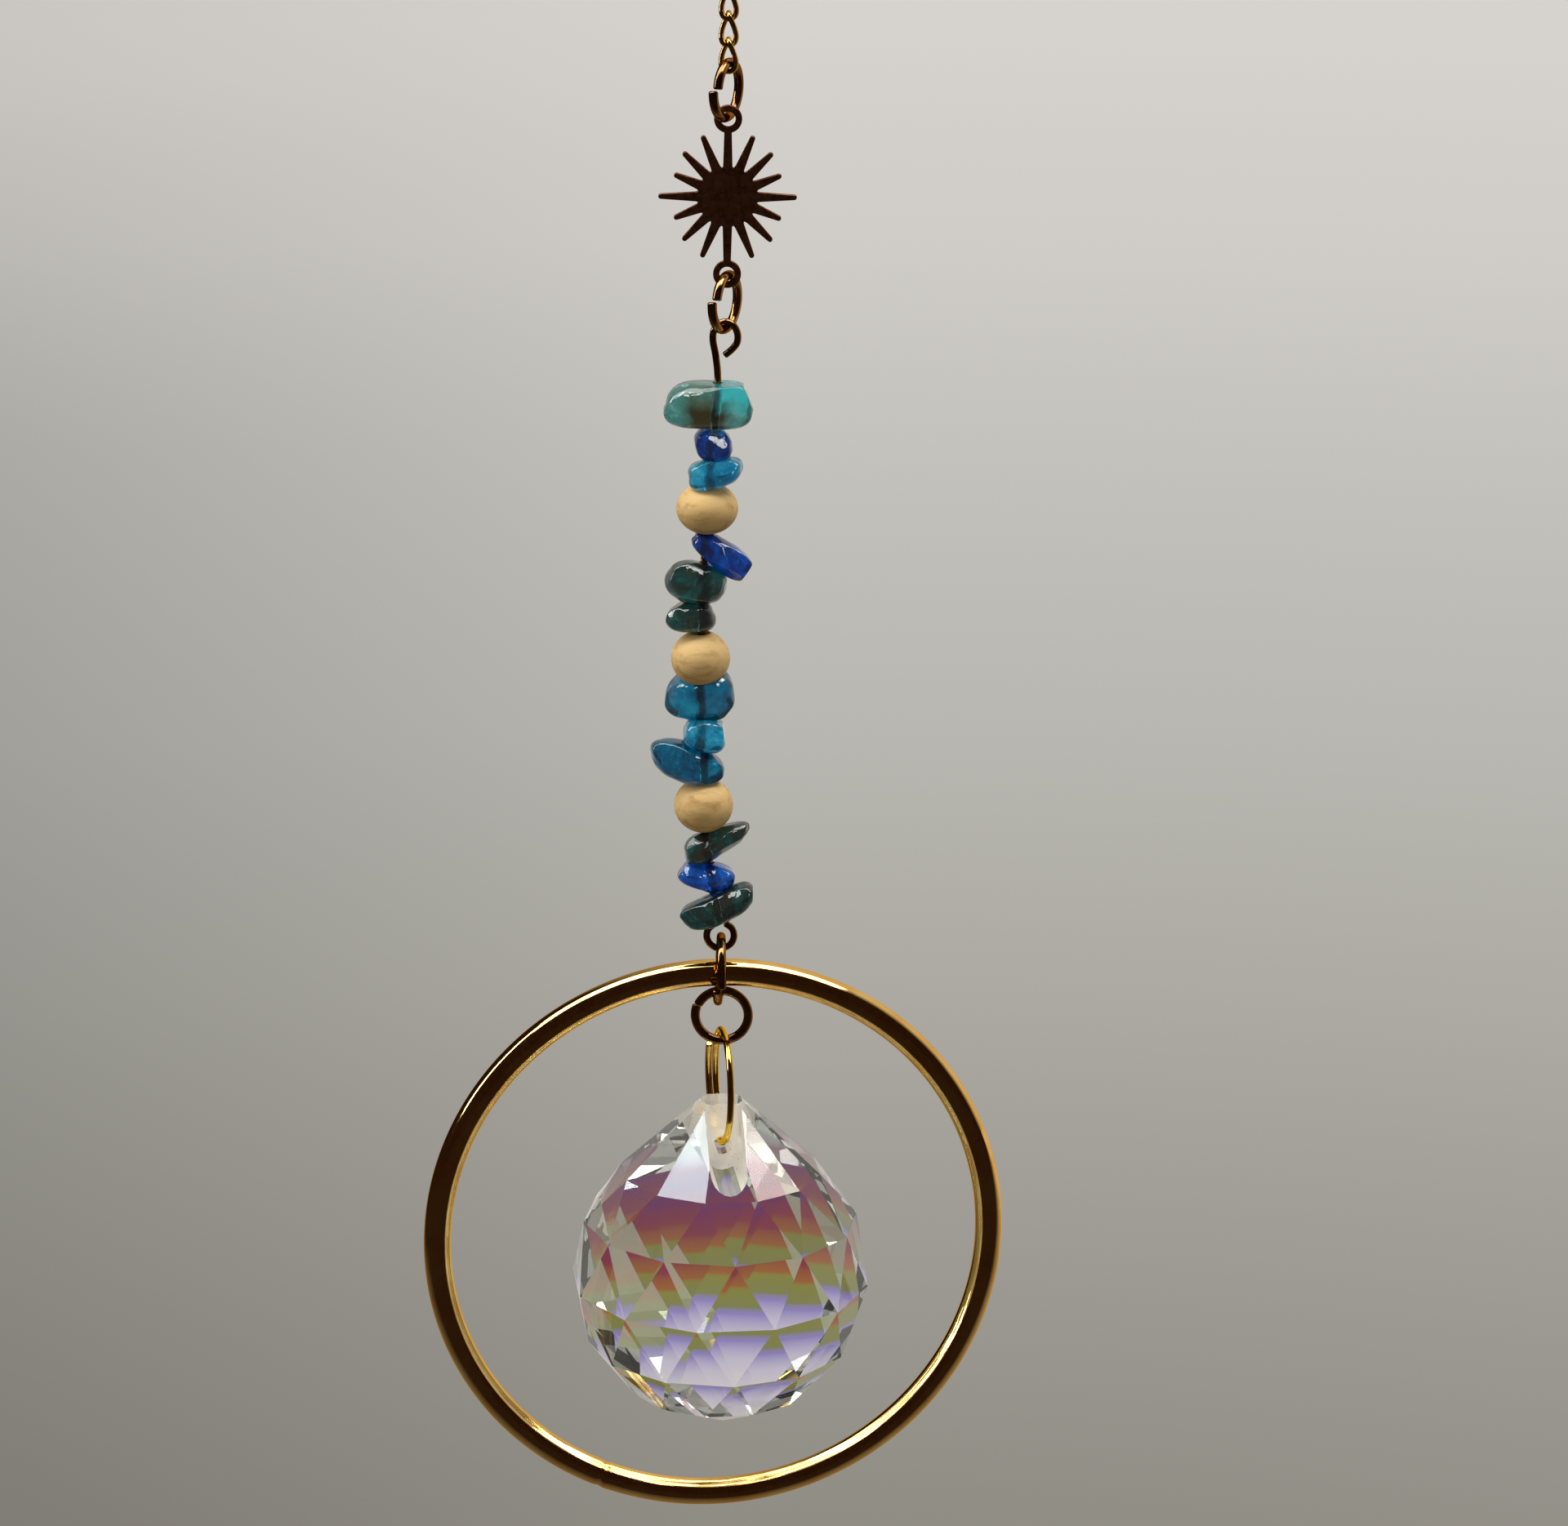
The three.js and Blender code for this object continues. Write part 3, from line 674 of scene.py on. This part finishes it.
def pebble(size, boxy, taper, bend, seed, flats):
    """A tumbled chip: a ball drawn towards a box, with slow lumps and worn flat places."""
    made = bmesh.new()
    bmesh.ops.create_icosphere(made, subdivisions=6, radius=1)
    cuts = [(Vector(direction).normalized(), keep) for direction, keep in flats]
    for vertex in made.verts:
        p = vertex.co
        total = abs(p.x) ** boxy + abs(p.y) ** boxy + abs(p.z) ** boxy
        lump = (
            1
            + 0.06 * math.sin(2.3 * p.x + 1.7 * p.y + seed)
            + 0.05 * math.sin(2.9 * p.z - 2.1 * p.x + 2.2 * seed)
            + 0.03 * noise.noise(p * 2.6 + Vector((seed, 0, 0)))
        )
        q = p * lump * total ** (-1 / boxy)
        narrow = 1 + taper * p.x
        vertex.co = (q.x, q.y * narrow, q.z * narrow)
    for direction, keep in cuts:
        reach = max(vertex.co.dot(direction) for vertex in made.verts)
        for vertex in made.verts:
            over = vertex.co.dot(direction) - keep * reach
            if over > 0:
                vertex.co -= direction * over * (1 - FLAT_SOFTNESS)
    every_axis = {"use_axis_x": True, "use_axis_y": True, "use_axis_z": True}
    for _ in range(2):
        bmesh.ops.smooth_vert(made, verts=made.verts, factor=0.5, **every_axis)
    low, high = extent(made)
    for vertex in made.verts:
        for i in range(3):
            vertex.co[i] = (vertex.co[i] - (low[i] + high[i]) / 2) * size[i] / (high[i] - low[i])
        vertex.co.z += bend * ((2 * vertex.co.x / size[0]) ** 2 - 0.5)
    return made


def chip(node, size, tilt, lean, boxy, taper, bend, seed, flats):
    """A pebble turned as it hangs and moved to its solid's place."""
    made = pebble(size, boxy, taper, bend, seed, flats)
    tilted = Matrix.Rotation(math.radians(-tilt), 3, "Y")
    turn = tilted @ Matrix.Rotation(math.radians(lean), 3, "X")
    for vertex in made.verts:
        vertex.co = turn @ vertex.co
    low, high = extent(made)
    shift = middle(node) - (low + high) / 2
    for vertex in made.verts:
        vertex.co = (vertex.co + shift) * MM
    mesh = bpy.data.meshes.new(node)
    made.to_mesh(mesh)
    made.free()
    return mesh


def drilled(mesh, centre):
    """The chip with the shank's hole through it."""
    above, below = shank_at(centre.z + DRILL_REACH), shank_at(centre.z - DRILL_REACH)
    past = (above - below).normalized() * DRILL_PAST
    path = [below - past, below, above, above + past]
    drill = wire("drill", path, CHIP_HOLE * 2, DRILL_SIDES)
    body = bpy.data.objects.new("body", mesh)
    tool = bpy.data.objects.new("tool", drill)
    for part in (body, tool):
        bpy.context.scene.collection.objects.link(part)
    cut = body.modifiers.new("cut", "BOOLEAN")
    cut.operation, cut.object, cut.solver = "DIFFERENCE", tool, "EXACT"
    bpy.context.view_layer.update()
    result = bpy.data.meshes.new_from_object(
        body.evaluated_get(bpy.context.evaluated_depsgraph_get())
    )
    for part in (body, tool):
        bpy.data.objects.remove(part)
    bpy.data.meshes.remove(drill)
    result.shade_smooth()
    result.set_sharp_from_angle(angle=math.radians(CHIP_EDGE))
    return result


for node, slot, *shape in CHIPS:
    piece(node, drilled(chip(node, *shape), middle(node)), [STONES[slot]])

# ---- hoop and bail --------------------------------------------------------------------------
hoop_centre = middle("hoop")
hoop_across = Vector((math.cos(math.radians(HOOP_YAW)), math.sin(math.radians(HOOP_YAW)), 0))
hoop_points = []
for i in range(HOOP_STEPS):
    angle = TAU * i / HOOP_STEPS
    hoop_points.append(
        hoop_centre
        + hoop_across * HOOP_RADIUS * math.cos(angle)
        + Vector((0, 0, HOOP_RADIUS * math.sin(angle)))
    )


def seam(share):
    """The tube's girth round the hoop: a fine groove and a low bead where its ends are joined."""
    off = share * 360 - SEAM_AT
    groove = SEAM_GROOVE * math.exp(-((off / SEAM_WIDTH) ** 2))
    bead = SEAM_BEAD * math.exp(-(((off - BEAD_ASIDE) / BEAD_WIDTH) ** 2))
    return 1 - groove + bead


hoop_mesh = wire("hoop", hoop_points, HOOP_TUBE, HOOP_SIDES, closed=True, swell=seam)
piece("hoop", hoop_mesh, [HOOP_GOLD])

bail_centre = Vector((0, 0, top("bail") - BAIL_WIRE / 2 - BAIL_RADIUS))
bail_yaw = math.radians(BAIL_YAW)
bail_forward = Vector((math.sin(bail_yaw), -math.cos(bail_yaw), 0))
bail_aside = Vector((-bail_forward.y, bail_forward.x, 0))
bail_points = []
for i in range(BAIL_STEPS + 1):
    t = i / BAIL_STEPS
    angle = math.radians(180 - BAIL_OVERLAP / 2 + (360 + BAIL_OVERLAP) * t)
    bail_points.append(
        bail_centre
        + bail_forward * BAIL_RADIUS * math.cos(angle)
        + bail_aside * BAIL_SPREAD * (2 * t - 1)
        + Vector((0, 0, BAIL_RADIUS * math.sin(angle)))
    )
piece("bail", wire("bail", bail_points, BAIL_WIRE), [BAIL_GOLD])

# ---- sun charm ------------------------------------------------------------------------------
SUN_DISC, SUN_THICK = 2.88, 0.45
RAY_ROOT, RAY_TIP, SUN_STEM = 0.46, 0.25, 0.36
LOOP_AT, LOOP_OUTER, LOOP_HOLE = 7.48, 1.34, 0.72
SUN_RAYS = 16
# How far the free rays reach, from the ones beside the loops round to the level ones.
RAY_REACH = (6.35, 6.0, 5.52, 6.6)
TIP_STEPS = 8
RAY_LIFT, NOTCH_DROP = 0.1, 0.04  # the rays start outside the disc's edge, the notches inside it
STEM_SPREAD = 1.25  # how much wider the loops' stems are at the disc
LOOP_STEPS = 36
SUN_BEVEL = 0.07
SUN_WELD = 1e-7  # metres between corners that are one
SUN_EDGE = 35  # degrees between faces from which an edge stays sharp


def sun_outline():
    """The plate's edge: sixteen rays, two of which end in loops, with a notch after each."""
    points = []

    def put(along, reach, offset):
        points.append((
            reach * math.cos(along) - offset * math.sin(along),
            reach * math.sin(along) + offset * math.cos(along),
        ))

    for ray in range(SUN_RAYS):
        along = TAU / SUN_RAYS * ray + math.pi / 2
        half = SUN_RAYS // 2
        from_upright = min(ray % half, half - ray % half)
        if from_upright == 0:
            put(along, SUN_DISC, -SUN_STEM * STEM_SPREAD)
            meet = math.asin(SUN_STEM / LOOP_OUTER)
            for i in range(LOOP_STEPS + 1):
                around = math.pi + meet + i / LOOP_STEPS * (TAU - 2 * meet)
                put(along, LOOP_AT + LOOP_OUTER * math.cos(around), LOOP_OUTER * math.sin(around))
            put(along, SUN_DISC, SUN_STEM * STEM_SPREAD)
        else:
            reach = RAY_REACH[from_upright - 1]
            put(along, SUN_DISC + RAY_LIFT, -RAY_ROOT)
            for i in range(TIP_STEPS + 1):
                turn = math.radians(180 * i / TIP_STEPS - 90)
                put(along, reach - RAY_TIP + RAY_TIP * math.cos(turn), RAY_TIP * math.sin(turn))
            put(along, SUN_DISC + RAY_LIFT, RAY_ROOT)
        put(along + math.pi / SUN_RAYS, SUN_DISC - NOTCH_DROP, 0)
    return points


def loop_hole(side):
    """The round hole of the upper (1) or lower (-1) loop."""
    points = []
    for i in range(LOOP_STEPS):
        angle = TAU * i / LOOP_STEPS
        across = LOOP_HOLE * math.cos(angle)
        points.append((across, side * LOOP_AT + LOOP_HOLE * math.sin(angle)))
    return points


def sun_mesh():
    """The stamped plate, cut from its outline with eased edges."""
    curve = bpy.data.curves.new("sun", "CURVE")
    curve.dimensions = "2D"
    curve.fill_mode = "BOTH"
    for outline in (sun_outline(), loop_hole(1), loop_hole(-1)):
        spline = curve.splines.new("POLY")
        spline.points.add(len(outline) - 1)
        for point, (x, y) in zip(spline.points, outline):
            point.co = (x * MM, y * MM, 0, 1)
        spline.use_cyclic_u = True
    curve.extrude = (SUN_THICK / 2 - SUN_BEVEL) * MM
    curve.bevel_depth = SUN_BEVEL * MM
    curve.bevel_resolution = 2
    curve.offset = -SUN_BEVEL * MM
    shape = bpy.data.objects.new("sun", curve)
    bpy.context.scene.collection.objects.link(shape)
    bpy.context.view_layer.update()
    mesh = bpy.data.meshes.new_from_object(
        shape.evaluated_get(bpy.context.evaluated_depsgraph_get())
    )
    bpy.data.objects.remove(shape)
    mesh.materials.clear()
    upright = Matrix.Rotation(math.pi / 2, 4, "X")
    mesh.transform(Matrix.Translation(middle("sun_charm") * MM) @ upright)
    work = bmesh.new()
    work.from_mesh(mesh)
    bmesh.ops.remove_doubles(work, verts=work.verts, dist=SUN_WELD)
    bmesh.ops.recalc_face_normals(work, faces=work.faces)
    work.to_mesh(mesh)
    work.free()
    mesh.shade_smooth()
    mesh.set_sharp_from_angle(angle=math.radians(SUN_EDGE))
    return mesh


piece("sun_charm", sun_mesh(), [CHARM])

# ---- crystal --------------------------------------------------------------------------------
WELD = 2e-6  # metres between corners that are one
FLAT = 1.0  # degrees within which neighbouring faces are one facet
CROWN_FROM = 9  # mm above the ball's centre
BALL_SKIN = 13.9  # mm from the ball's centre to its innermost facets
# Cosines between a face's normal and its way out from the centre: a facet has more than the
# first, ground glass less than the second.
FACET_OUT, GROUND_OUT = 0.9, 0.75
FLAT_TOP = 0.99  # the crown's cut top faces up by more than this


def crystal_mesh():
    """The solid's own facets, each as one face."""
    work = bmesh.new()
    work.from_mesh(frame["nodes"]["crystal"].data)
    bmesh.ops.remove_doubles(work, verts=work.verts, dist=WELD)
    bmesh.ops.dissolve_limit(
        work, angle_limit=math.radians(FLAT), verts=work.verts, edges=work.edges
    )
    mesh = bpy.data.meshes.new("crystal")
    work.to_mesh(mesh)
    work.free()
    mesh.shade_flat()
    return mesh


def is_ground(face):
    """Whether a face is of the hole or the slots: in the crown, and no facet of its outside."""
    centre = face.center / MM - ball_centre
    outward = face.normal.dot(centre.normalized())
    on_ball = centre.length > BALL_SKIN and outward > FACET_OUT
    sunk = not on_ball and outward < GROUND_OUT and face.normal.z < FLAT_TOP
    return centre.z > CROWN_FROM and sunk


crystal_surface = crystal_mesh()
piece("crystal", crystal_surface, [GLASS, GROUND_WITH_GLOW])
for face in crystal_surface.polygons:
    if is_ground(face):
        face.material_index = 1

# ---- stage and light ------------------------------------------------------------------------
FLOOR_DROP = 0.13  # metres between the part's lowest point and the floor
FLOOR_HALF = 14
# The floor's painted light: its brightness at each distance from the middle, in metres, paler
# farther away.
FLOOR_TONES = (
    (0.29, (0.275, 0.262, 0.231)),
    (0.55, (0.408, 0.397, 0.361)),
    (0.73, (0.479, 0.468, 0.434)),
    (1.30, (0.624, 0.604, 0.571)),
    (1.75, (0.672, 0.645, 0.617)),
)
# A painted shade darkens the picture's left side. The shade grows with the sideways slope from
# where the camera stands, starts behind the part and weakens far behind it; the last two are Y, in
# metres.
SHADE_SLOPE, SHADE_TONE = -0.15, 0.72
SHADE_STARTS = (-0.10, 0.15)
SHADE_WEAKENS = (1.0, 1.6)
SHADE_FAR_SHARE = 0.5
NEAREST = 0.2  # metres from the camera, the least that a slope is worked out for

# What each kind of ray finds in place of the pale room: the studio is soft and even to the eye,
# yet polished metal mirrors a dark front and left side, glass and polished stone show a pale room
# and mirror a grey front, and matt things are lit mostly from overhead.
FAR_TONE = (0.68, 0.655, 0.625)
GLASS_TONE = (1.50, 1.47, 1.42)
GLASS_FRONT = (1.45, 1.47, 1.34)
POLISH_FRONT = (0.22, 0.22, 0.21)
DARK_ROOM = (0.016, 0.006, 0.003)
WARM_TONE = (0.66, 0.58, 0.47)
MATT_ABOVE = (0.32, 0.31, 0.27)
MATT_BELOW = (0.11, 0.09, 0.07)
BEHIND = (-0.14, 0.42)  # the room turns from its front tone to its back tone between these Y
RIGHTWARD = (-0.45, 0.10)  # and, as metal sees it, from dark to pale between these X
PAPER_SHARE = 0.85  # how far glass sees the room's tone on the floor, in place of the paper's
# Bright panes that only glass and polished stone mirror: direction, cosine of reach, brightness.
WINDOWS = (
    ((-0.47, -0.13, 0.87), 0.990, (9.0, 11.0, 12.0)),
    ((0.63, 0.09, 0.77), 0.990, (12.0, 10.5, 9.5)),
    ((-0.30, -0.45, 0.84), 0.992, (12.0, 12.0, 11.6)),
    ((0.40, -0.58, 0.71), 0.994, (13.0, 13.0, 12.5)),
)


def mirrored_sharply(look, rays):
    """One for rays mirrored by glass or polished stone, which have no roughness, else nought."""
    return look.maths("MULTIPLY", rays["Is Glossy Ray"], rays["Is Singular Ray"])


def by_ray(look, rays, seen, axes, share, matt):
    """The tone that each kind of ray meets at a place, or in a direction, given by its axes.

    share is how far glass sees the room's tone in place of the one the eye sees.
    """
    behind = look.spread(axes["Y"], *BEHIND)
    through = look.mix(share, seen, look.mix(behind, GLASS_FRONT, GLASS_TONE))
    tone = look.mix(rays["Is Transmission Ray"], seen, through)
    tone = look.mix(rays["Is Diffuse Ray"], tone, matt)
    pale = look.maths("MULTIPLY", behind, look.spread(axes["X"], *RIGHTWARD))
    tone = look.mix(rays["Is Glossy Ray"], tone, look.mix(pale, DARK_ROOM, WARM_TONE))
    polished = look.mix(behind, POLISH_FRONT, FAR_TONE)
    return look.mix(mirrored_sharply(look, rays), tone, polished)


def floor_tone(look, axes):
    """The paper's painted light as the eye sees it: paler away from the part, with a painted shade
    on the left.
    """
    flat = look.node("VectorMath", {0: look.place, 1: (1, 1, 0)}, operation="MULTIPLY")
    reach = look.node("VectorMath", {0: flat.outputs[0]}, operation="LENGTH").outputs["Value"]
    longest = FLOOR_TONES[-1][0]
    share = look.maths("DIVIDE", reach, longest)
    paper = look.ramp(share, *[(distance / longest, tone) for distance, tone in FLOOR_TONES])
    away = look.maths("MAXIMUM", look.maths("ADD", axes["Y"], -CAMERA_AT[1] * MM), NEAREST)
    slope = look.maths("DIVIDE", axes["X"], away)
    shade = look.spread(slope, SHADE_SLOPE, 0.0, SHADE_TONE, 1.0)
    started = look.spread(axes["Y"], *SHADE_STARTS)
    weakened = look.spread(axes["Y"], *SHADE_WEAKENS, 1.0, SHADE_FAR_SHARE)
    shade = look.mix(look.maths("MULTIPLY", started, weakened), (1.0, 1.0, 1.0), shade)
    return look.mix(1.0, paper, shade, "MULTIPLY")


def stage():
    """A pale paper floor that glows softly; its light and shade are painted into the glow."""
    level = cad_box[0][2] - FLOOR_DROP
    mesh = bpy.data.meshes.new("floor")
    mesh.from_pydata(
        [(x * FLOOR_HALF, y * FLOOR_HALF, level) for x, y in ((-1, -1), (1, -1), (1, 1), (-1, 1))],
        [],
        [(0, 1, 2, 3)],
    )
    floor = bpy.data.objects.new("floor", mesh)
    bpy.context.scene.collection.objects.link(floor)
    look = Finish("floor_paper", Base_Color=(0.004, 0.004, 0.004, 1), Roughness=0.9)
    look.set(Specular_IOR_Level=0.0, Emission_Strength=1.0)
    axes = look.axes(look.place)
    rays = look.node("LightPath").outputs
    paper = floor_tone(look, axes)
    look.drive("Emission Color", by_ray(look, rays, paper, axes, PAPER_SHARE, MATT_BELOW))
    mesh.materials.append(look.material)


class Sky(Finish):
    """The world's own nodes, made with the same helpers."""

    def __init__(self, name):
        self.material = bpy.data.worlds.new(name)
        self.material.use_nodes = True
        self.tree = self.material.node_tree
        self.shader = self.tree.nodes["Background"]
        self.place = self.tree.nodes.new("ShaderNodeTexCoord").outputs["Generated"]


def world():
    """The room beyond the floor, with the windows that glass and polished stone mirror."""
    look = Sky("studio")
    rays = look.node("LightPath").outputs
    tone = by_ray(look, rays, FAR_TONE, look.axes(look.place), 1.0, MATT_ABOVE)
    sharp = mirrored_sharply(look, rays)
    for direction, reach, level in WINDOWS:
        near = look.node("VectorMath", {0: look.place, 1: direction}, operation="DOT_PRODUCT")
        pane = look.maths("GREATER_THAN", near.outputs["Value"], reach)
        tone = look.mix(look.maths("MULTIPLY", pane, sharp), tone, level)
    look.drive("Color", tone)
    bpy.context.scene.world = look.material


def area_light(name, at, aim, size, power, colour=(1, 1, 1)):
    data = bpy.data.lights.new(name, "AREA")
    data.shape = "RECTANGLE"
    data.size, data.size_y = size
    data.energy = power
    data.color = colour
    lamp = bpy.data.objects.new(name, data)
    lamp.location = at
    lamp.rotation_euler = (Vector(aim) - Vector(at)).to_track_quat("-Z", "Y").to_euler()
    bpy.context.scene.collection.objects.link(lamp)


def camera():
    data = bpy.data.cameras.new("camera")
    data.lens = CAMERA_LENS
    data.sensor_width = CAMERA_SENSOR
    data.clip_start, data.clip_end = 0.05, 50
    made = bpy.data.objects.new("camera", data)
    made.location = Vector(CAMERA_AT) * MM
    made.rotation_mode = "ZYX"
    made.rotation_euler = (math.radians(90 - CAMERA_PITCH), 0, math.radians(CAMERA_ROLL))
    bpy.context.scene.collection.objects.link(made)
    bpy.context.scene.camera = made


camera()
stage()
world()
area_light("overhead", (-0.1, 0.02, 0.8), (-0.1, 0.02, 0), (1.8, 0.6), 15, (1.0, 0.98, 0.94))
area_light("left", (-0.8, 0.0, 0.3), (0, 0, -0.1), (0.12, 0.5), 2, (1.0, 0.95, 0.88))

bpy.context.scene.view_settings.view_transform = "Standard"
